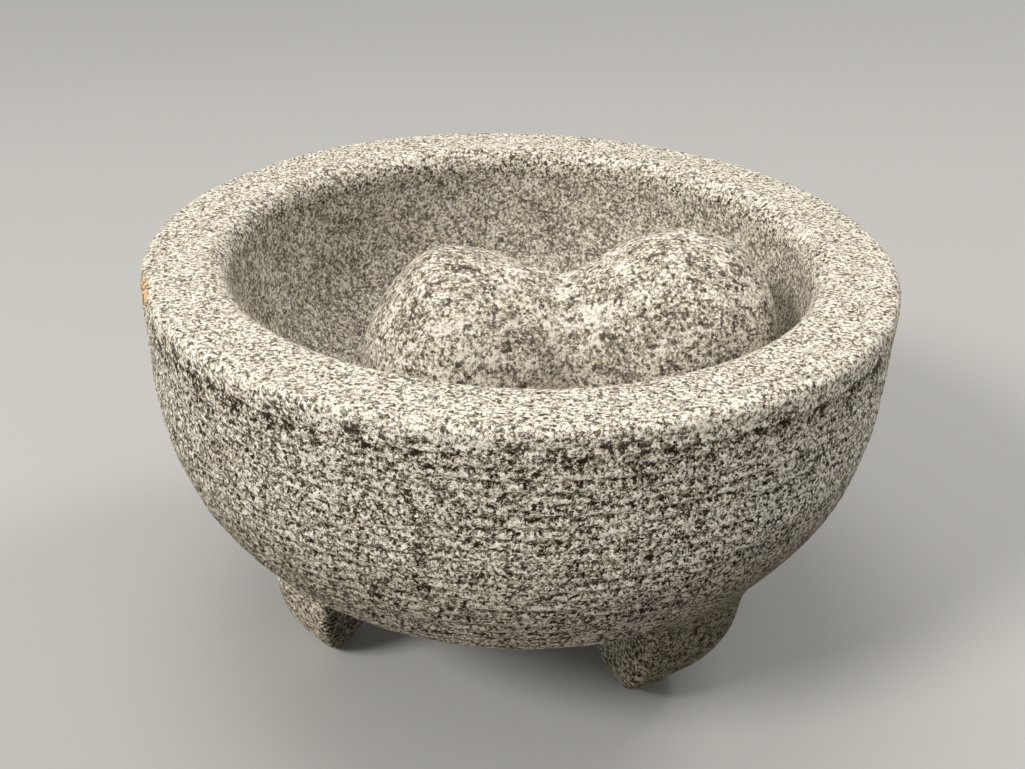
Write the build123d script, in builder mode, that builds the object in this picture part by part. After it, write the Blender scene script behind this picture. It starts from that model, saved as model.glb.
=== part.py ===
"""Molcajete: a granite mortar on three carved feet, with its loose double-lobed tejolote.

Millimetres, +Z up. The origin is on the table plane, on the bowl's axis.
The bowl and its feet are one stone. The tejolote lies in the bowl, its +X end riding
a little up the wall.
"""
from build123d import *
import os
from math import cos, pi, sin

# Bowl
TOTAL_HEIGHT = 120.0  # table to the flat top of the rim
RIM_RADIUS = 101.6  # an 8 inch bowl
WALL_TAPER = 0.007  # radius lost per millimetre of depth
WALL_DEPTH = 23.0  # nearly straight wall below the rim
BELLY_DEPTH = 95.0  # rim to the lowest point of the belly
BELLY_POWERS = (2.34, 2.74)  # roundness of the belly's curve
OUTER_EDGE_FILLET = 2.4

# Cavity
CAVITY_RADIUS = 79.0
CAVITY_DEPTH = 66.0
CAVITY_POWERS = (3.0, 2.5)
INNER_EDGE_FILLET = 6.6

# Shares of a bowl curve's depth at which its outline has a point
CURVE_SHARES = (0, 0.25, 0.5, 0.7, 0.85, 0.95)

# Feet: each one's azimuth in degrees, and its sections from inside the belly down to the worn
# pad, each (height, distance from the axis, half depth, half width)
LEFT_FOOT_AZIMUTH = -154.0
LEFT_FOOT = [(52, 50.5, 28.5, 19.5), (24, 57.6, 17.2, 15.0), (9, 60.8, 8.9, 10.8), (0, 60.8, 2.6, 5.0)]
RIGHT_FOOT_AZIMUTH = -44.7
RIGHT_FOOT = [(52, 60.4, 23.8, 20.4), (24, 59.4, 17.4, 19.2), (9, 57.2, 9.8, 15.0), (0, 53.0, 2.8, 6.8)]
REAR_FOOT_AZIMUTH = 79.0
REAR_FOOT = [(52, 56.0, 25.0, 19.6), (24, 58.4, 17.2, 16.8), (9, 59.2, 9.2, 12.8), (0, 57.2, 2.6, 5.8)]
FOOT_ROOT_FILLET = 5.0

# Tejolote: each lobe's pole, its largest radius and where that lies, measured from the waist
WAIST_RADIUS = 20.5
LARGE_LOBE = {"pole": 59.7, "centre": 33.4, "radius": 32.3, "end_power": 1.57, "neck_power": 0.62}
SMALL_LOBE = {"pole": 58.0, "centre": 29.9, "radius": 29.8, "end_power": 2.28, "neck_power": 0.72}
WAIST_PLACE = (14.4, -7.0, 91.45)
TEJOLOTE_YAW = 1.8
TEJOLOTE_TILT = 7.5  # the small lobe is the higher end


def bowl_points(top_radius, top_height, bottom_height, powers):
    """Outline of a round bowl, from its top edge down to the axis, as (radius, height)."""
    span = top_height - bottom_height
    inner, outer = powers
    points = [
        (top_radius * (1 - share**inner) ** (1 / outer), top_height - share * span)
        for share in CURVE_SHARES
    ]
    return points + [(0, bottom_height)]


def lobe_points(lobe, side):
    """Outline of one lobe, from the neck to its pole, as (distance from the waist, radius)."""
    centre = lobe["centre"]
    swell = lobe["radius"] - WAIST_RADIUS
    neck = [
        (side * centre * share, WAIST_RADIUS + swell * sin(share * pi / 2) ** (2 * lobe["neck_power"]))
        for share in (0.35, 0.65)
    ]
    reach = lobe["pole"] - centre
    power = 2 / lobe["end_power"]
    end = [
        (side * (centre + reach * sin(angle) ** power), lobe["radius"] * cos(angle) ** power)
        for angle in (0, 0.17 * pi, 0.31 * pi, 0.42 * pi)
    ]
    return neck + end + [(side * lobe["pole"], 0)]


def foot_plane(azimuth, distance, height):
    """Level plane of one foot section, its X axis pointing away from the bowl's axis."""
    outward = Vector(1, 0, 0).rotate(Axis.Z, azimuth)
    return Plane(origin=outward * distance + Vector(0, 0, height), x_dir=outward, z_dir=(0, 0, 1))


os.makedirs("parts", exist_ok=True)

# The mortar: bowl, cavity and feet carved from one block
wall_foot = (RIM_RADIUS - WALL_TAPER * WALL_DEPTH, TOTAL_HEIGHT - WALL_DEPTH)
with BuildPart() as mortar:
    with BuildSketch(Plane.XZ):
        with BuildLine():
            wall = Line((RIM_RADIUS, TOTAL_HEIGHT), wall_foot)
            belly = Spline(
                bowl_points(*wall_foot, TOTAL_HEIGHT - BELLY_DEPTH, BELLY_POWERS),
                tangents=[(-WALL_TAPER, -1), (-1, 0)],
                tangent_scalars=[1, 1],
            )
            cavity = Spline(
                bowl_points(CAVITY_RADIUS, TOTAL_HEIGHT, TOTAL_HEIGHT - CAVITY_DEPTH, CAVITY_POWERS),
                tangents=[(0, -1), (-1, 0)],
                tangent_scalars=[1, 1],
            )
            Line(belly @ 1, cavity @ 1)
            Line(cavity @ 0, wall @ 0)
        make_face()
    revolve(axis=Axis.Z)
    fillet(mortar.edges().group_by(Axis.Z)[-1].sort_by(SortBy.RADIUS)[-1], OUTER_EDGE_FILLET)
    fillet(mortar.edges().group_by(Axis.Z)[-1].sort_by(SortBy.RADIUS)[0], INNER_EDGE_FILLET)

    for azimuth, sections in (
        (LEFT_FOOT_AZIMUTH, LEFT_FOOT),
        (RIGHT_FOOT_AZIMUTH, RIGHT_FOOT),
        (REAR_FOOT_AZIMUTH, REAR_FOOT),
    ):
        for height, distance, half_depth, half_width in sections:
            with BuildSketch(foot_plane(azimuth, distance, height)):
                Ellipse(half_depth, half_width)
        loft()
        fillet(mortar.edges(Select.NEW), FOOT_ROOT_FILLET)
mortar.part.label = "mortar"
export_step(mortar.part, "parts/mortar.step")

# The tejolote: one turned and dressed stone with two lobes and a waist
tejolote_axis = Vector(1, 0, 0).rotate(Axis.Y, -TEJOLOTE_TILT).rotate(Axis.Z, TEJOLOTE_YAW)
tejolote_side = Vector(0, -1, 0).rotate(Axis.Z, TEJOLOTE_YAW)
with BuildPart() as tejolote:
    with BuildSketch(Plane(origin=WAIST_PLACE, x_dir=tejolote_axis, z_dir=tejolote_side)):
        with BuildLine():
            outline = Spline(
                lobe_points(LARGE_LOBE, -1)[::-1] + [(0, WAIST_RADIUS)] + lobe_points(SMALL_LOBE, 1),
                tangents=[(0, 1), (0, -1)],
                tangent_scalars=[1, 1],
            )
            Line(outline @ 0, outline @ 1)
        make_face()
    revolve(axis=Axis(WAIST_PLACE, tejolote_axis))
tejolote.part.label = "tejolote"
export_step(tejolote.part, "parts/tejolote.step")
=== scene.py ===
"""Looks of a granite molcajete: the mortar on its carved feet, and the tejolote lying in it.

The shapes are worked out in millimetres with the table at z = 0, as in the CAD model, and
turned into metres when a mesh is made.
"""
import itertools

import bpy
import numpy as np
from mathutils import Matrix, Vector


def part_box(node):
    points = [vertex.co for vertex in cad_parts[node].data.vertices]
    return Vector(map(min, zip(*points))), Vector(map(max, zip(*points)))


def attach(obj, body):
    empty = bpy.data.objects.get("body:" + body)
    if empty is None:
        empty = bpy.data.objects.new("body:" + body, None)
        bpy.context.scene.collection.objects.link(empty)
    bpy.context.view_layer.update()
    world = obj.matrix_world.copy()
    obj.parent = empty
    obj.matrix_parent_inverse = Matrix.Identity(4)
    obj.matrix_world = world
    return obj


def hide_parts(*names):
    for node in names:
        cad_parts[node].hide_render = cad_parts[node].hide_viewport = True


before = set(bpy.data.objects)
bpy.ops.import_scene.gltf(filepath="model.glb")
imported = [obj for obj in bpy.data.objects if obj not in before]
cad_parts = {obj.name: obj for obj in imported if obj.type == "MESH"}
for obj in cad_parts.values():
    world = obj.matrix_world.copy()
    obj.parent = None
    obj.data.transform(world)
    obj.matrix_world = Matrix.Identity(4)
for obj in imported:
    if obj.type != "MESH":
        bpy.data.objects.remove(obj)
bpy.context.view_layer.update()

MM = 0.001

# ---------------------------------------------------------------- sizes from the frame
mortar_low, mortar_high = (np.array(corner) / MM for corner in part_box("mortar"))
TOTAL_HEIGHT = mortar_high[2]
RIM_RADIUS = (mortar_high[0] - mortar_low[0]) / 2

# ---------------------------------------------------------------- the bowl's outline
WALL_TAPER = 0.007
WALL_DEPTH = 23.0
BELLY_DEPTH = 95.0
BELLY_POWERS = (2.34, 2.74)
OUTER_EDGE_ROUND = 2.4
CAVITY_RADIUS = 79.0
CAVITY_DEPTH = 66.0
CAVITY_POWERS = (3.0, 2.5)
INNER_EDGE_ROUND = 6.6
UNDERSIDE_RADIUS = 40.0  # inside this radius the belly's rows are wider

# Row spacing of the mesh along the outline, and its columns around the axis
CAVITY_STEP = 1.7
RIM_STEP = 0.9
WALL_STEP = 0.75
UNDERSIDE_STEP = 1.8
COLUMNS = 320

# ---------------------------------------------------------------- the feet
# Azimuth and twist in degrees, the side its chiselled outer edge is on, then sections (height,
# distance from the axis, half depth, half width)
FEET = {
    "left": (-154.0, 22.0, 1, [
        (52, 50.5, 28.5, 19.5), (24, 57.6, 17.2, 15.0), (9, 60.8, 8.9, 10.8), (0, 60.8, 2.6, 5.0),
    ]),
    "right": (-44.7, -12.0, -1, [
        (52, 60.4, 23.8, 20.4), (24, 59.4, 17.4, 19.2), (9, 57.2, 9.8, 14.4), (0, 53.0, 2.8, 6.8),
    ]),
    "rear": (79.0, 0.0, 1, [
        (52, 56.0, 25.0, 19.6), (24, 58.4, 17.2, 16.8), (9, 59.2, 9.2, 12.8), (0, 57.2, 2.6, 5.8),
    ]),
}
FOOT_SQUARENESS = 2.4
EDGE_SQUARENESS = 12.0  # of the quarter with the chiselled edge
FOOT_ROOT_BLEND = 6.0
FOOT_PAD_ROUND = 1.2
FOOT_REACH = 1.3  # how far past its own half widths a foot bends the mesh around it
FEET_START = 15.0  # the feet bend the mesh from this far below the straight wall

# The mesh around the feet is first drawn down along them and then eased onto their surface
DRAW_POWER = 1.4
DRAWN_PAD = 0.25  # share of the footprint that is drawn into the pad
EASED_REACH = 1.45
EASING_TURNS = 60
CLOSING_TURNS = 10
FAR = 9.0  # reach of a point that no foot bends

# ---------------------------------------------------------------- relief of the mortar's surface
MORTAR_SEED = 11
HAND_WORK = [(0.30, 62, 400), (0.16, 21, 700)]  # height, wavelength and offset of each layer
ROUGHNESS = [(0.13, 6.5, 200), (0.11, 3.1, 900)]
RING_SEED = 3
RING_PITCH = 2.7  # turned rings on the wall, at the rim
RING_GROWTH = 0.016  # more pitch for every millimetre further down the wall
RING_CREST = 2.0  # the first crest, below the rim's outer edge
RING_HEIGHT = 0.30
RING_WANDER = 0.12  # in ring pitches
RING_STRENGTH = (0.15, 1.7)  # least and most, as the rings come and go
RINGS_AT_SIDES = 0.35  # the rings are faint at the bowl's left and right
RINGS_END = (62.0, 92.0)  # between these distances down the wall they fade out
PIT_DEPTH = 0.55
CHIPS_DOWN_WALL = 4.2  # a band of chips under the rim's edge, strongest at the front
CHIPS_WIDTH = 1.5
CHIPS_AZIMUTH = -1.2  # radians
CHIPS_SPREAD = 0.75
CAVITY_DOWN_WALL = (-34.0, -27.0)  # between these distances the cavity turns into the rim
CAVITY_SUNK = 0.18
STAIN_AZIMUTH = -159.0
STAIN_DOWN_WALL = -2.0  # its middle is on the rim's rounded outer edge
STAIN_SIZE = (9.5, 2.8)  # along the rim and across its edge

# ---------------------------------------------------------------- the tejolote
WAIST_RADIUS = 20.5
LARGE_LOBE = {"pole": 59.7, "centre": 33.4, "radius": 32.3, "end_power": 1.57, "neck_power": 0.62}
SMALL_LOBE = {"pole": 58.0, "centre": 29.9, "radius": 29.8, "end_power": 2.28, "neck_power": 0.72}
WAIST_PLACE = (14.4, -7.0, 91.45)
TEJOLOTE_YAW = 1.8
TEJOLOTE_TILT = 7.5  # the small lobe is the higher end
TEJOLOTE_STEP = 0.85
TEJOLOTE_COLUMNS = 215
TEJOLOTE_SEED = 23
TEJOLOTE_RELIEF = [(0.22, 34, 300), (0.10, 11, 500), (0.06, 4.5, 800), (0.04, 2.4, 100)]
TEJOLOTE_SUNK = 0.25  # keeps the relief clear of the cavity

# ---------------------------------------------------------------- the view
CAMERA_PITCH = 28.77  # degrees down
CAMERA_ROLL = 1.54
CAMERA_DISTANCE = 3.258  # rim radii along the lens axis, from the camera to the rim's centre
RIM_IN_VIEW = (0.0075, 0.1196)  # the rim's centre, right of and above the lens axis, as tangents
CAMERA_LENS = 42.15  # in millimetres, as is the sensor
SENSOR_WIDTH = 36


# ================================================================ helpers
def make_noise(seed, cells=32):
    """A smooth random field of about -1 to 1, as a function of points and a wavelength.

    Points moved by a large offset give a field that doesn't follow the first one.
    """
    values = np.random.default_rng(seed).uniform(-1, 1, (cells, cells, cells))

    def noise(points, wavelength):
        scaled = points / wavelength
        base = np.floor(scaled).astype(int)
        share = scaled - base
        share = share * share * (3 - 2 * share)
        total = np.zeros(points.shape[:-1])
        for corner in itertools.product((0, 1), repeat=3):
            weight = np.prod(np.where(corner, share, 1 - share), axis=-1)
            cell = (base + corner) % cells
            total += weight * values[cell[..., 0], cell[..., 1], cell[..., 2]]
        return total

    return noise


def waves(noise, points, layers):
    """Relief from layers of noise, each (height, wavelength, offset of the points)."""
    return sum(height * noise(points + offset, length) for height, length, offset in layers)


def smoothstep(low, high, value):
    """0 below low to 1 above high."""
    share = np.clip((value - low) / (high - low), 0, 1)
    return share * share * (3 - 2 * share)


def smooth_minimum(a, b, blend):
    """The smaller of two distances, eased over where they are within a blend of each other."""
    share = np.maximum(blend - np.abs(a - b), 0) / blend
    return np.minimum(a, b) - share * share * blend / 4


def resample(points, step):
    """Points evenly spaced along a dense polyline, about a step apart, ends included."""
    lengths = np.concatenate([[0], np.cumsum(np.linalg.norm(np.diff(points, axis=0), axis=1))])
    count = max(2, int(np.ceil(lengths[-1] / step)) + 1)
    places = np.linspace(0, lengths[-1], count)
    return np.stack([np.interp(places, lengths, points[:, k]) for k in range(2)], axis=-1)


def join(*stretches):
    """One outline from stretches whose ends meet."""
    return np.concatenate([stretches[0]] + [stretch[1:] for stretch in stretches[1:]])


def arc(centre, radius, start, end, count=40):
    """Points of an arc, its ends given in degrees."""
    angles = np.radians(np.linspace(start, end, count))
    return np.stack([centre[0] + radius * np.cos(angles), centre[1] + radius * np.sin(angles)], axis=-1)


def bowl_curve(top_radius, top_height, bottom_height, powers, count=1500):
    """Round bowl outline from its top edge down to the axis, as (radius, height)."""
    inner, outer = powers
    share = 1 - (1 - np.linspace(0, 1, count)) ** 3
    radius = top_radius * (1 - share**inner) ** (1 / outer)
    return np.stack([radius, top_height - share * (top_height - bottom_height)], axis=-1)


def grid_normals(grid):
    """Unit outward normals of a grid that closes on itself along its second axis."""
    along = np.gradient(grid, axis=0)
    around = np.roll(grid, -1, axis=1) - np.roll(grid, 1, axis=1)
    normal = np.cross(around, along)
    length = np.linalg.norm(normal, axis=-1, keepdims=True)
    return normal / np.maximum(length, 1e-9)


def mesh_from_grid(name, grid, first_pole, last_pole, attributes):
    """Closed mesh of a revolved grid with a pole point at each end; attributes go per point."""
    rows, columns = grid.shape[:2]
    points = np.concatenate([[first_pole], grid.reshape(-1, 3), [last_pole]]) * MM
    row = np.arange(rows - 1)[:, None] * columns
    column = np.arange(columns)[None, :]
    beside = (column + 1) % columns
    below = row + columns
    corners = np.broadcast_arrays(row + column, row + beside, below + beside, below + column)
    faces = (np.stack(corners, axis=-1).reshape(-1, 4) + 1).tolist()
    last_row = (rows - 1) * columns + 1
    for here in range(columns):
        after = (here + 1) % columns
        faces.append([0, 1 + after, 1 + here])
        faces.append([len(points) - 1, last_row + here, last_row + after])
    mesh = bpy.data.meshes.new(name)
    mesh.from_pydata(points.tolist(), [], faces)
    for key, values in attributes.items():
        attribute = mesh.attributes.new(key, "FLOAT", "POINT")
        padded = np.concatenate([[values[0].mean()], values.ravel(), [values[-1].mean()]])
        attribute.data.foreach_set("value", padded.astype(np.float32))
    mesh.polygons.foreach_set("use_smooth", np.ones(len(mesh.polygons), dtype=bool))
    mesh.update()
    piece = bpy.data.objects.new(name, mesh)
    bpy.context.scene.collection.objects.link(piece)
    return piece


# ================================================================ mortar shape
def mortar_outline():
    """The mortar's outline as rows of (radius, height), and the row just under the rim's edge."""
    top = TOTAL_HEIGHT
    cavity = bowl_curve(CAVITY_RADIUS, top, top - CAVITY_DEPTH, CAVITY_POWERS)
    cavity = cavity[cavity[:, 1] < top - INNER_EDGE_ROUND][::-1]
    inner_edge = arc((CAVITY_RADIUS + INNER_EDGE_ROUND, top - INNER_EDGE_ROUND), INNER_EDGE_ROUND, 180, 90)
    outer_edge = arc((RIM_RADIUS - OUTER_EDGE_ROUND, top - OUTER_EDGE_ROUND), OUTER_EDGE_ROUND, 90, 0)
    wall_foot = (RIM_RADIUS - WALL_TAPER * WALL_DEPTH, top - WALL_DEPTH)
    belly = bowl_curve(*wall_foot, top - BELLY_DEPTH, BELLY_POWERS)
    side = belly[belly[:, 0] >= UNDERSIDE_RADIUS]
    underside = belly[belly[:, 0] <= side[-1, 0]]
    stretches = [
        resample(np.concatenate([cavity, inner_edge[:1]]), CAVITY_STEP),
        resample(np.concatenate([inner_edge, outer_edge]), RIM_STEP),
        resample(np.concatenate([outer_edge[-1:], side]), WALL_STEP),
        resample(underside, UNDERSIDE_STEP),
    ]
    wall_row = len(stretches[0]) + len(stretches[1]) - 1
    return join(*stretches), wall_row


def belly_distance(points):
    """Nearly the distance outside the belly, for points beside or below it."""
    top_radius = RIM_RADIUS - WALL_TAPER * WALL_DEPTH
    span = BELLY_DEPTH - WALL_DEPTH
    inner, outer = BELLY_POWERS
    radius = np.hypot(points[..., 0], points[..., 1]) / top_radius
    share = np.maximum(TOTAL_HEIGHT - WALL_DEPTH - points[..., 2], 0) / span
    value = radius**outer + share**inner - 1
    slope = np.hypot(outer * radius ** (outer - 1) / top_radius, inner * share ** (inner - 1) / span)
    return value / slope


class Foot:
    """One carved foot: a squarish section that changes with height."""

    def __init__(self, azimuth, twist, edge_side, sections):
        heights, *measures = np.array(sections, dtype=float).T
        self.top = heights.max()
        self.curves = [np.polyfit(heights, measure, 3) for measure in measures]
        angle, turned = np.radians(azimuth), np.radians(azimuth + twist)
        self.outward = np.array([np.cos(angle), np.sin(angle), 0])
        self.deep = np.array([np.cos(turned), np.sin(turned), 0])
        self.wide = np.array([-np.sin(turned), np.cos(turned), 0])
        self.edge_side = edge_side

    def section(self, height):
        return [np.polyval(curve, np.clip(height, 0, self.top)) for curve in self.curves]

    def local(self, points):
        """Depth and width of points in the section at their height, and its half sizes."""
        centre, half_depth, half_width = self.section(points[..., 2])
        depth = points @ self.deep - centre * (self.outward @ self.deep)
        width = points @ self.wide - centre * (self.outward @ self.wide)
        return depth, width, half_depth, half_width

    def distance(self, points):
        """Nearly the distance outside the foot, with its pad on the table."""
        depth, width, half_depth, half_width = self.local(points)
        chiselled = (depth > 0) & (width * self.edge_side > 0)
        power = np.where(chiselled, EDGE_SQUARENESS, FOOT_SQUARENESS)
        ratio = (np.abs(depth / half_depth) ** power + np.abs(width / half_width) ** power) ** (1 / power)
        side = np.hypot(depth, width) * (1 - 1 / np.maximum(ratio, 0.05))
        return -smooth_minimum(-side, points[..., 2], FOOT_PAD_ROUND)

    def reach(self, grid):
        """0 at the foot's middle to 1 where its footprint on the belly ends."""
        depth, width, half_depth, half_width = self.local(grid)
        facing = grid @ self.outward > 0
        return np.where(facing, np.hypot(depth / half_depth, width / half_width) / FOOT_REACH, FAR)

    def draw_down(self, grid, reach):
        """First guess: the belly's points inside the footprint, pulled down along the foot."""
        inside = reach < 1
        points = grid[inside]
        share = reach[inside]
        depth, width, half_depth, half_width = self.local(points)
        across = np.arctan2(width / half_width, depth / half_depth)
        height = points[:, 2] * share**DRAW_POWER
        centre, half_depth, half_width = self.section(height)
        squeeze = np.minimum(share / DRAWN_PAD, 1) * (1 + (FOOT_REACH - 1) * smoothstep(0.5, 1, share))
        depth = half_depth * squeeze * np.cos(across)
        width = half_width * squeeze * np.sin(across)
        moved = grid.copy()
        centre, depth, width = centre[:, None], depth[:, None], width[:, None]
        moved[inside] = centre * self.outward + depth * self.deep + width * self.wide
        moved[inside, 2] = height
        return moved


def add_feet(grid, feet, wall_row):
    """Carve the feet out of the belly's grid and ease their roots into it."""
    def distance(points):
        total = belly_distance(points)
        for foot in feet:
            total = smooth_minimum(total, foot.distance(points), FOOT_ROOT_BLEND)
        return total

    def project(points):
        """Points moved onto the surface, by at most 2 mm along each axis."""
        step = 0.05
        here = distance(points)
        slope = np.stack([(distance(points + step * axis) - here) / step for axis in np.eye(3)], axis=-1)
        shift = here[:, None] * slope / np.maximum((slope**2).sum(-1, keepdims=True), 0.2)
        return points - np.clip(shift, -2, 2)

    reaches = [foot.reach(grid) for foot in feet]
    outside = (np.arange(len(grid)) > wall_row)[:, None]
    below = outside & (grid[..., 2] < TOTAL_HEIGHT - WALL_DEPTH - FEET_START)
    closeness = np.where(below, np.minimum.reduce(reaches), FAR)
    for foot, reach in zip(feet, reaches):
        grid = foot.draw_down(grid, np.where(below, reach, FAR))
    near = closeness < EASED_REACH
    near[[0, -1]] = False
    for turn in range(EASING_TURNS + CLOSING_TURNS):
        if turn < EASING_TURNS:
            mean = sum(np.roll(grid, way, axis) for axis in (0, 1) for way in (1, -1)) / 4
            grid[near] = 0.5 * grid[near] + 0.5 * mean[near]
        grid[near] = project(grid[near])
    return grid, closeness


def mortar_grid():
    """The mortar's smooth shape, each point's distance down the wall and closeness to a foot.

    Down the wall is measured along the outline from just under the rim's outer edge, so it is
    negative on the rim and in the cavity. Closeness is 0 in the middle of a foot and 1 where
    its footprint on the belly ends.
    """
    outline, wall_row = mortar_outline()
    poles = [np.array([0, 0, outline[end, 1]]) for end in (0, -1)]
    rows = outline[1:-1]
    angles = np.linspace(np.pi, -np.pi, COLUMNS, endpoint=False)  # so that faces look outward
    grid = np.stack([
        rows[:, :1] * np.cos(angles), rows[:, :1] * np.sin(angles), np.repeat(rows[:, 1:], COLUMNS, axis=1)
    ], axis=-1)
    feet = [Foot(*measures) for measures in FEET.values()]
    grid, closeness = add_feet(grid, feet, wall_row)
    lengths = np.concatenate([[0], np.cumsum(np.linalg.norm(np.diff(rows, axis=0), axis=1))])
    down_wall = np.repeat((lengths - lengths[wall_row])[:, None], COLUMNS, axis=1)
    return grid, poles, down_wall, closeness, angles, feet


def wrapped(angles, down_wall, stretch):
    """Coordinates for noise that is drawn out along the turning direction."""
    turning = RIM_RADIUS / stretch
    around = np.broadcast_to(angles, down_wall.shape)
    return 500 + np.stack([turning * np.cos(around), turning * np.sin(around), down_wall], axis=-1)


def turned_rings(grid, angles, down_wall, on_outside):
    """The turned rings, below 0 in a furrow and above 0 on a crest, and how strong they are."""
    broken = make_noise(RING_SEED)
    drawn_out = wrapped(angles, down_wall, 5)
    phase = np.log1p(RING_GROWTH * np.maximum(down_wall, 0) / RING_PITCH) / RING_GROWTH
    phase += RING_WANDER * broken(drawn_out, 14)
    ring = np.cos(2 * np.pi * (phase - RING_CREST / RING_PITCH))
    strength = 0.95 + 0.6 * broken(wrapped(angles, down_wall, 2.5), 3.6) + 0.45 * broken(drawn_out, 5)
    strength = np.clip(strength + 0.2 * broken(grid + 90, 30), *RING_STRENGTH)
    strength *= RINGS_AT_SIDES + (1 - RINGS_AT_SIDES) * np.sin(angles) ** 2
    fade = on_outside * (1 - smoothstep(*RINGS_END, down_wall))
    return fade * ring * strength, strength


def broken_pits(stone, grid, angles, down_wall, on_outside, ring_strength):
    """Small broken pits from 0 to 1, most of them along the rim's outer edge."""
    pits = 1.4 * stone(wrapped(angles, down_wall, 1.3) + 50, 3.8) + 1.2 * stone(grid + 650, 2.4)
    pits = np.clip(pits - 0.45, 0, 1)
    pits *= np.exp(-(((down_wall - 1.5) / 3.2) ** 2)) + 0.35 * on_outside
    chips = np.exp(-(((down_wall - CHIPS_DOWN_WALL) / CHIPS_WIDTH) ** 2))
    chips = chips * np.exp(-(((angles - CHIPS_AZIMUTH) / CHIPS_SPREAD) ** 2))
    return np.clip(pits + 0.5 * chips * ring_strength, 0, 1)


def feet_masks(grid, normals, closeness, feet):
    """Where the stone is a foot's, and where shade is painted into its colour: the right foot and
    what is around it, but less on the facet to its right, and the left foot's facets that face inwards."""
    left_foot, right_foot, _ = feet
    facing_in = normals @ (left_foot.wide - left_foot.deep)
    lit_facet = smoothstep(0.72, 0.95, -(normals @ right_foot.wide))
    x = grid[..., 0]
    foot = 1 - smoothstep(0.65, 1.55, closeness)
    around_foot = 1 - smoothstep(0.7, 1.9, closeness)
    # Painted shade: the right foot and the belly around it, and the left foot's inward facets, are
    # darkened
    painted_shade_right = around_foot * smoothstep(-20, 10, x) * (1 - 0.5 * foot * lit_facet)
    painted_shade_left = foot * smoothstep(-0.1, 0.2, facing_in) * (x < 0)
    return foot, np.maximum(painted_shade_right, painted_shade_left)


def stain_mask(angles, down_wall):
    """An ochre stain on the rim's outer edge, fading out from 1 in its middle."""
    along_rim = (angles - np.radians(STAIN_AZIMUTH)) * RIM_RADIUS / STAIN_SIZE[0]
    over_edge = (down_wall - STAIN_DOWN_WALL) / STAIN_SIZE[1]
    return np.exp(-(along_rim**2) - over_edge**2)


def make_mortar():
    grid, poles, down_wall, closeness, angles, feet = mortar_grid()
    on_wall = smoothstep(0, 2, down_wall)
    on_outside = on_wall * smoothstep(1.0, 1.6, closeness)
    in_cavity = 1 - smoothstep(*CAVITY_DOWN_WALL, down_wall)

    rings, ring_strength = turned_rings(grid, angles, down_wall, on_outside)
    stone = make_noise(MORTAR_SEED)
    pits = broken_pits(stone, grid, angles, down_wall, on_outside, ring_strength)
    hand = waves(stone, grid, HAND_WORK)
    rough = waves(stone, grid, ROUGHNESS)
    relief = RING_HEIGHT * rings - PIT_DEPTH * pits + rough * (0.25 + 0.75 * on_wall)
    relief += np.where(in_cavity > 0.5, 0.5 * hand - CAVITY_SUNK, hand)
    above_pads = smoothstep(0, 3, grid[..., 2])
    normals = grid_normals(grid)
    grid += (relief * above_pads)[..., None] * normals
    grid[..., 2] = np.minimum(grid[..., 2], TOTAL_HEIGHT)

    foot, shaded = feet_masks(grid, normals, closeness, feet)
    attributes = {
        "down_wall": down_wall,
        "ring": rings,
        "pits": pits,
        "foot": foot,
        # painted shade on and around the feet
        "shaded_foot": shaded,
        "stain": stain_mask(angles, down_wall),
        "cavity": in_cavity,
    }
    piece = mesh_from_grid("mortar_stone", grid, *poles, attributes)
    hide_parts("mortar")
    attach(piece, "mortar")
    return piece


# ================================================================ tejolote shape
def lobe_curve(lobe, side, count=600):
    """One lobe's outline from the waist to its pole, as (distance from the waist, radius)."""
    share = np.linspace(0, 1, count)
    angle = share * np.pi / 2
    swell = lobe["radius"] - WAIST_RADIUS
    neck = WAIST_RADIUS + swell * np.sin(angle) ** (2 * lobe["neck_power"])
    power = 2 / lobe["end_power"]
    end = lobe["centre"] + (lobe["pole"] - lobe["centre"]) * np.sin(angle) ** power
    return np.concatenate([
        np.stack([side * lobe["centre"] * share, neck], axis=-1),
        np.stack([side * end, lobe["radius"] * np.cos(angle) ** power], axis=-1)[1:],
    ])


def make_tejolote():
    large, small = lobe_curve(LARGE_LOBE, -1), lobe_curve(SMALL_LOBE, 1)
    outline = resample(np.concatenate([large[::-1], small[1:]]), TEJOLOTE_STEP)
    window = np.hanning(11)
    eased = np.convolve(outline[:, 1], window / window.sum(), mode="same")
    at_waist = 1 - smoothstep(8, 14, np.abs(outline[:, 0]))
    outline[:, 1] += at_waist * (eased - outline[:, 1])
    tilt, yaw = np.radians(TEJOLOTE_TILT), np.radians(TEJOLOTE_YAW)
    axis = np.array([np.cos(tilt) * np.cos(yaw), np.cos(tilt) * np.sin(yaw), np.sin(tilt)])
    side = np.array([-np.sin(yaw), np.cos(yaw), 0])
    up = np.cross(axis, side)
    angles = np.linspace(-np.pi, np.pi, TEJOLOTE_COLUMNS, endpoint=False)
    spokes = np.cos(angles)[:, None] * side + np.sin(angles)[:, None] * up
    rows = outline[1:-1]
    grid = WAIST_PLACE + rows[:, None, :1] * axis + rows[:, None, 1:] * spokes
    poles = [WAIST_PLACE + outline[end, 0] * axis for end in (0, -1)]

    dressed = make_noise(TEJOLOTE_SEED)
    relief = waves(dressed, grid, TEJOLOTE_RELIEF) - TEJOLOTE_SUNK
    grid += relief[..., None] * grid_normals(grid)
    piece = mesh_from_grid("tejolote_stone", grid, *poles, {})
    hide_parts("tejolote")
    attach(piece, "tejolote")
    return piece


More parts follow.
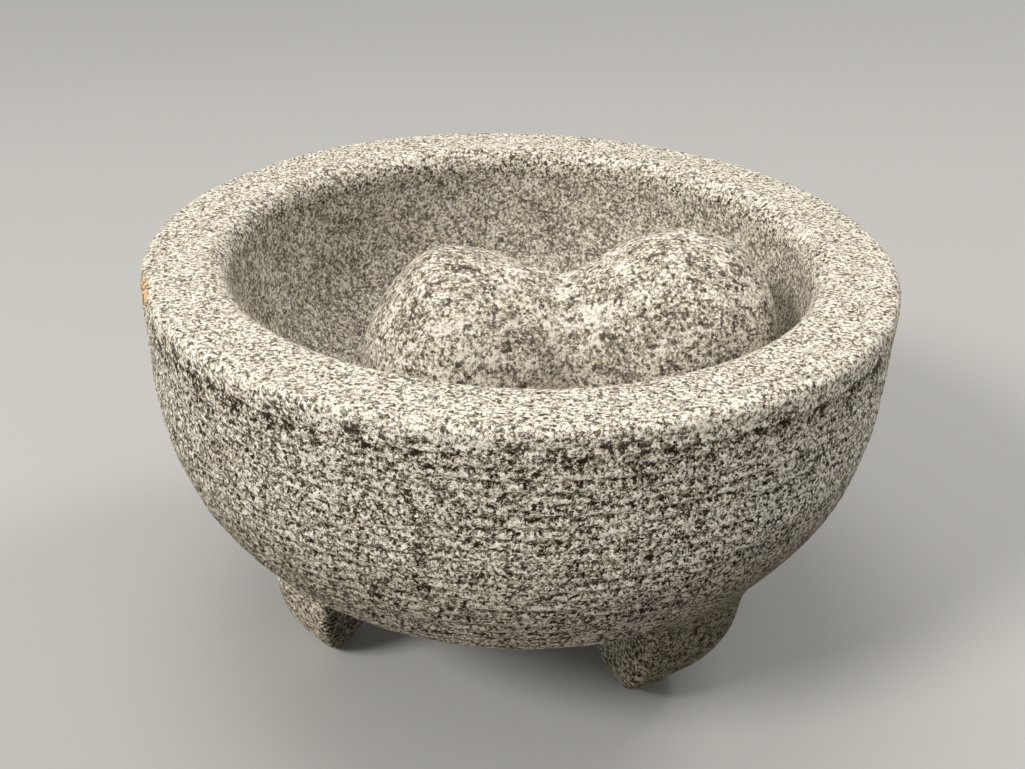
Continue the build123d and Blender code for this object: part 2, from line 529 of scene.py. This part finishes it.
# ================================================================ granite
class Nodes:
    """Short ways to add nodes to a material; each returns the output socket it is used for."""

    def __init__(self, name):
        self.material = bpy.data.materials.new(name)
        self.material.use_nodes = True
        self.tree = self.material.node_tree
        self.shader = self.tree.nodes["Principled BSDF"]

    def feed(self, socket, value):
        """Link an output to an input, or set the input to a constant."""
        if isinstance(value, bpy.types.NodeSocket):
            self.tree.links.new(value, socket)
        else:
            socket.default_value = value

    def add(self, kind, output, inputs, **settings):
        node = self.tree.nodes.new(kind)
        for key, value in settings.items():
            setattr(node, key, value)
        for key, value in inputs.items():
            self.feed(node.inputs[key], value)
        return node.outputs[output]

    def math(self, operation, *values, clamp=False):
        inputs = dict(enumerate(values))
        return self.add("ShaderNodeMath", 0, inputs, operation=operation, use_clamp=clamp)

    def blend(self, factor, low, high, blend_type="MIX"):
        inputs = {0: factor, 6: low, 7: high}
        return self.add("ShaderNodeMix", 2, inputs, data_type="RGBA", blend_type=blend_type)

    def between(self, low, high, value):
        """0 at low to 1 at high, eased and the same beyond; low may be the larger one."""
        inputs = {"Value": value, "From Min": low, "From Max": high}
        return self.add("ShaderNodeMapRange", 0, inputs, interpolation_type="SMOOTHSTEP")

    def attribute(self, name):
        """One of the values that make_mortar gives to every point."""
        return self.add("ShaderNodeAttribute", "Fac", {}, attribute_name=name)

    def noise(self, place, wavelength, detail, output=0):
        inputs = {"Vector": place, "Scale": 1 / (wavelength * MM), "Detail": detail}
        return self.add("ShaderNodeTexNoise", output, inputs)

    def swing(self, place, wavelength, detail):
        """Noise about zero, from -0.5 to 0.5."""
        return self.math("SUBTRACT", self.noise(place, wavelength, detail), 0.5)

    def cells(self, place, size):
        """A random colour for every crystal of about this size."""
        inputs = {"Vector": place, "Scale": 1 / (size * MM)}
        return self.add("ShaderNodeTexVoronoi", "Color", inputs)

    def ramp(self, value, stops):
        node = self.tree.nodes.new("ShaderNodeValToRGB")
        while len(node.color_ramp.elements) < len(stops):
            node.color_ramp.elements.new(1)
        for element, (position, colour) in zip(node.color_ramp.elements, stops):
            element.position = position
            element.color = (*colour, 1)
        self.feed(node.inputs["Fac"], value)
        return node.outputs["Color"]

    def shifted(self, place, offset):
        return self.add("ShaderNodeVectorMath", 0, {0: place, 1: offset}, operation="ADD")

    def times(self, value, factor):
        return self.math("MULTIPLY", value, factor)

    def opposite(self, mask):
        return self.math("SUBTRACT", 1.0, mask)

    def total(self, start, shares):
        """The start value plus each value times its share."""
        for value, share in shares:
            start = self.math("ADD", start, self.times(value, share))
        return start

    def place(self):
        return self.add("ShaderNodeTexCoord", "Object", {})

    def axis(self, place, index):
        return self.add("ShaderNodeSeparateXYZ", index, {0: place})

    def channels(self, colour):
        return self.add("ShaderNodeSeparateColor", 0, {0: colour}).node.outputs


# Colours of the crystals, from biotite through quartz to the palest feldspar
CRYSTALS = [
    (0.02, (0.022, 0.017, 0.010)), (0.17, (0.066, 0.054, 0.036)), (0.36, (0.172, 0.153, 0.120)),
    (0.50, (0.294, 0.267, 0.212)), (0.64, (0.464, 0.430, 0.352)), (0.82, (0.742, 0.700, 0.600)),
    (1.00, (0.930, 0.900, 0.820)),
]
MEAN_TONE = 0.50
TONE_OFFSET = 0.12  # brings the crystals' mean to the mean tone
BRUISED = (0.60, 0.57, 0.49)  # stone crushed pale by tools and wear
OCHRE = (0.62, 0.50, 0.30)
PINK = (0.62, 0.45, 0.38)
STONE_SPECULAR = 0.05
BUMP_HEIGHT = 0.0004

# Factors on the stone's colour from place to place: painted shade on the lower belly and on and around the
# feet, painted light on the feet's other faces, and the stain
SHADED_BELLY = (0.59, 0.57, 0.54)
# painted light on the feet's faces outside the painted shade
PAINTED_LIGHT_FOOT = (1.5, 1.49, 1.46)
SHADED_FOOT = (0.48, 0.46, 0.39)
STAINED = (0.90, 0.69, 0.47)


def granite(name, grain, regions):
    """Salt-and-pepper granite; regions says what differs from place to place on a piece."""
    n = Nodes(name)
    place = n.place()
    bend = n.noise(place, 1.1 * grain, 1.0, output=1)
    bend = n.add("ShaderNodeVectorMath", 0, {0: bend, "Scale": 0.8 * MM * grain}, operation="SCALE")
    bent = n.shifted(place, bend)
    region = regions(n, place)

    # Crystals of two sizes, with flakes of mica, as a tone from dark to pale. The shifts, of
    # some centimetres, keep one pattern from following another.
    kind, brightness, hue = n.channels(n.cells(bent, 0.85 * grain))
    large, _, _ = n.channels(n.cells(n.shifted(bent, (0.31, 0.17, 0.23)), 1.9 * grain))
    mottle = n.swing(bent, 1.3 * grain, 4.0)
    fine = n.noise(place, 0.40 * grain, 2.0)
    mica = n.between(0.57, 0.63, n.noise(n.shifted(bent, (0.07, 0.11, 0.05)), 2.0 * grain, 4.0))
    tone = n.total(n.times(kind, 0.60), [
        (large, 0.30),
        (mottle, 2.5),
        (n.swing(place, 6.0, 2.0), 0.35),
        (n.math("SUBTRACT", fine, 0.5), 2.2),
        (mica, -0.55),
    ])
    tone = n.math("ADD", tone, TONE_OFFSET - MEAN_TONE)
    tone = n.math("ADD", n.times(tone, region["contrast"]), MEAN_TONE)
    tone = n.math("ADD", tone, region["paler"], clamp=True)

    colour = n.ramp(tone, CRYSTALS)
    colour = n.blend(region["worn"], colour, (*BRUISED, 1))
    colour = n.blend(n.times(n.between(0.94, 0.97, hue), 0.35), colour, (*OCHRE, 1))
    colour = n.blend(n.times(n.between(0.06, 0.03, hue), 0.25), colour, (*PINK, 1))
    for mask, shift in region["shifts"]:
        colour = n.blend(mask, colour, (*shift, 1), "MULTIPLY")
    n.feed(n.shader.inputs["Base Color"], colour)

    n.feed(n.shader.inputs["Specular IOR Level"], STONE_SPECULAR)
    roughness = n.add("ShaderNodeMapRange", 0, {"Value": tone, "To Min": 0.60, "To Max": 0.88})
    n.feed(n.shader.inputs["Roughness"], roughness)
    height = n.total(n.times(fine, 0.9), [
        (brightness, 0.35),
        (mottle, 1.2),
        (n.noise(place, 2.2, 3.0), region["lumpy"]),
    ])
    bump = {"Height": height, "Strength": region["rough"], "Distance": BUMP_HEIGHT}
    n.feed(n.shader.inputs["Normal"], n.add("ShaderNodeBump", 0, bump))
    return n.material


def mortar_regions(n, place):
    """Pale bruised rim, turned and chipped wall, plain cavity, coarser feet and the stain, with painted
    shade on the lower belly and on and around the feet, and painted light on the feet's other faces.
    """
    down_wall = n.attribute("down_wall")
    foot = n.attribute("foot")
    # painted shade on and around the feet
    shaded = n.attribute("shaded_foot")
    cavity = n.attribute("cavity")
    jagged = n.swing(place, 2.4, 4.0)
    wall = n.between(4.0, 10.0, down_wall)
    to_right = n.between(-0.01, 0.06, n.axis(place, 0))

    edge = n.math("ADD", down_wall, n.times(jagged, 13.0))
    rim = n.times(n.between(3.0, 0.0, edge), n.between(-33.0, -22.0, edge))
    ragged = n.math("ADD", n.times(jagged, 3.0), 1.0)
    pits = n.between(0.30, 0.55, n.times(n.attribute("pits"), ragged))
    at_edge = n.times(n.between(-2.0, 0.5, down_wall), n.between(9.0, 4.0, down_wall))
    chips = n.between(0.655, 0.68, n.total(n.noise(place, 3.8, 5.0), [(at_edge, 0.085)]))
    chips = n.times(chips, n.between(-2.5, -1.0, down_wall))

    # Streaks run around the bowl: their noise is stretched sideways
    turned = n.add("ShaderNodeCombineXYZ", 0, {
        0: n.times(n.axis(place, 0), 0.4),
        1: n.times(n.axis(place, 1), 0.4),
        2: n.times(down_wall, MM),
    })
    streaks = n.times(n.swing(turned, 0.85, 3.0), n.opposite(cavity))
    coarse = n.times(n.swing(place, 1.9, 2.0), n.math("ADD", n.times(foot, 2.2), cavity))
    clouds = n.times(n.swing(place, 6.5, 3.0), n.math("ADD", wall, cavity, clamp=True))
    stain = n.total(n.attribute("stain"), [(jagged, 0.5)])
    return {
        "paler": n.total(0.0, [
            (rim, 0.155),
            (cavity, 0.03),
            (wall, 0.02),
            (n.attribute("ring"), 0.17),
            (pits, -0.26),
            (chips, -0.45),
            (streaks, 0.9),
            (coarse, 0.9),
            (clouds, 0.6),
        ]),
        "contrast": n.total(1.0, [(n.times(wall, to_right), 0.40), (foot, 0.60), (cavity, -0.15)]),
        "worn": n.total(n.times(rim, 0.06), [(cavity, 0.15)]),
        "rough": n.total(0.85, [(n.math("ADD", rim, cavity, clamp=True), -0.35)]),
        "lumpy": n.times(n.between(0.0, 4.0, down_wall), 3.0),
        "shifts": [
            # painted shade: the belly darker towards the bottom
            (n.between(28.0, 54.0, down_wall), SHADED_BELLY),
            # painted light: the feet's faces outside the painted shade are brightened
            (n.times(foot, n.opposite(shaded)), PAINTED_LIGHT_FOOT),
            # painted shade on and around the feet
            (shaded, SHADED_FOOT),
            (n.between(0.3, 0.6, stain), STAINED),
        ],
    }


def tejolote_regions(n, place):
    """Cloudy stone with dark flecks, and painted light that makes it a little paler at the waist."""
    from_waist = n.math("ABSOLUTE", n.math("SUBTRACT", n.axis(place, 0), WAIST_PLACE[0] * MM))
    flecks = n.noise(n.shifted(place, (0.13, 0.05, 0.09)), 2.2, 4.0)
    return {
        "paler": n.total(0.09, [
            (n.swing(place, 6.5, 3.0), 1.0),
            (n.between(0.595, 0.625, flecks), -0.52),
            # painted light: the waist a little paler, where it catches the light
            (n.between(0.018, 0.003, from_waist), 0.09),
        ]),
        "contrast": 0.75,
        "worn": n.times(n.noise(place, 30, 2.0), 0.18),
        "rough": 0.5,
        "lumpy": 0.8,
        "shifts": [],
    }


mortar = make_mortar()
tejolote = make_tejolote()
mortar.data.materials.append(granite("mortar_granite", 0.67, mortar_regions))
tejolote.data.materials.append(granite("tejolote_granite", 0.75, tejolote_regions))


# ================================================================ stage
FLOOR_HALF = 30.0  # metres, as are the places and sizes of the lights below
FLOOR_FADE = (0.7, 2.6)  # between these distances the floor turns from grey to pale
FLOOR_NEAR = (0.46, 0.46, 0.46, 1)
FLOOR_FAR = (0.92, 0.92, 0.92, 1)
LIT_PLACE = (0, 0, 0.06)
LIGHT_COLOUR = (1, 0.965, 0.90)
WORLD_COLOUR = (1.0, 0.97, 0.92, 1)
WORLD_STRENGTH = 0.40


def add_floor():
    corners = [(x * FLOOR_HALF, y * FLOOR_HALF, 0) for x, y in ((-1, -1), (1, -1), (1, 1), (-1, 1))]
    mesh = bpy.data.meshes.new("floor")
    mesh.from_pydata(corners, [], [(0, 1, 2, 3)])
    floor = bpy.data.objects.new("floor", mesh)
    bpy.context.scene.collection.objects.link(floor)
    n = Nodes("pale_floor")
    away = n.add("ShaderNodeVectorMath", 1, {0: n.place()}, operation="LENGTH")
    n.feed(n.shader.inputs["Base Color"], n.blend(n.between(*FLOOR_FADE, away), FLOOR_NEAR, FLOOR_FAR))
    n.feed(n.shader.inputs["Roughness"], 0.9)
    mesh.materials.append(n.material)


def add_light(name, place, size, watts):
    light = bpy.data.lights.new(name, "AREA")
    light.shape = "DISK"
    light.size = size
    light.energy = watts
    light.color = LIGHT_COLOUR
    lamp = bpy.data.objects.new(name, light)
    bpy.context.scene.collection.objects.link(lamp)
    lamp.location = place
    lamp.rotation_euler = (Vector(LIT_PLACE) - Vector(place)).to_track_quat("-Z", "Y").to_euler()


def add_camera():
    """Camera looking along +Y and down at the rim, set by angles and in rim radii."""
    pitch, roll = np.radians(CAMERA_PITCH), np.radians(CAMERA_ROLL)
    forward = np.array([0, np.cos(pitch), -np.sin(pitch)])
    level_up = np.array([0, np.sin(pitch), np.cos(pitch)])
    level_right = np.array([1.0, 0, 0])
    right = np.cos(roll) * level_right + np.sin(roll) * level_up
    up = np.cos(roll) * level_up - np.sin(roll) * level_right
    rim_centre = np.array([0, 0, TOTAL_HEIGHT])
    distance = CAMERA_DISTANCE * RIM_RADIUS
    place = rim_centre - distance * (forward + RIM_IN_VIEW[0] * right + RIM_IN_VIEW[1] * up)
    camera = bpy.data.cameras.new("camera")
    camera.sensor_width = SENSOR_WIDTH
    camera.lens = CAMERA_LENS
    camera.clip_start = 0.01
    viewer = bpy.data.objects.new("camera", camera)
    bpy.context.scene.collection.objects.link(viewer)
    turned = Matrix((right, up, -forward)).transposed().to_4x4()
    turned.translation = Vector(place * MM)
    viewer.matrix_world = turned
    bpy.context.scene.camera = viewer


def add_world():
    world = bpy.data.worlds.new("studio")
    world.use_nodes = True
    background = world.node_tree.nodes["Background"]
    background.inputs["Color"].default_value = WORLD_COLOUR
    background.inputs["Strength"].default_value = WORLD_STRENGTH
    bpy.context.scene.world = world


add_camera()
add_floor()
add_world()
add_light("key", (-1.1, -0.95, 1.25), 0.5, 25)
add_light("back", (0.9, 0.5, 1.2), 0.5, 7.5)
add_light("overhead", (-0.2, 0.1, 1.5), 0.8, 6.5)
bpy.context.scene.view_settings.view_transform = "Standard"
